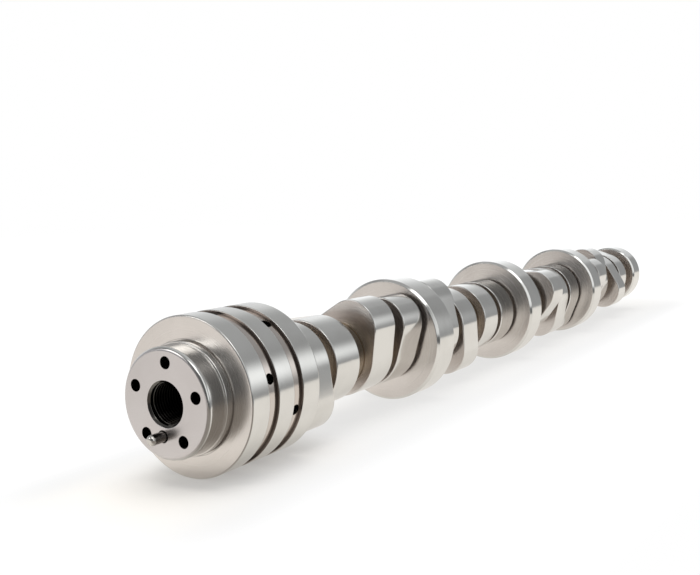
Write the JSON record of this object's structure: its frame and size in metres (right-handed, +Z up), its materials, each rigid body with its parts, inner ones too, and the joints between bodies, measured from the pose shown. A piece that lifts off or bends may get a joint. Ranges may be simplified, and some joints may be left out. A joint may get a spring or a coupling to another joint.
{
  "type": "camshaft",
  "caption": "Ground steel camshaft with ported nose, grooved front journal, lobe groups between stepped journals, and a dowel pin",
  "frame": {"origin": "Centre of the nose face, on the shaft's axis", "axes": "+X runs along the shaft from the nose face to the rear end; +Z is up as the shaft lies in the picture; angles round the shaft are counted from +Y towards +Z"},
  "size_m": [0.5145, 0.0582, 0.0581],
  "materials": {
    "ground_steel": "ground and polished journals and lobes, turned faces",
    "pin_steel": "hardened and ground"
  },
  "bodies": {
    "root": {"camshaft": "ground_steel", "dowel_pin": "pin_steel"}
  },
  "joints": []
}
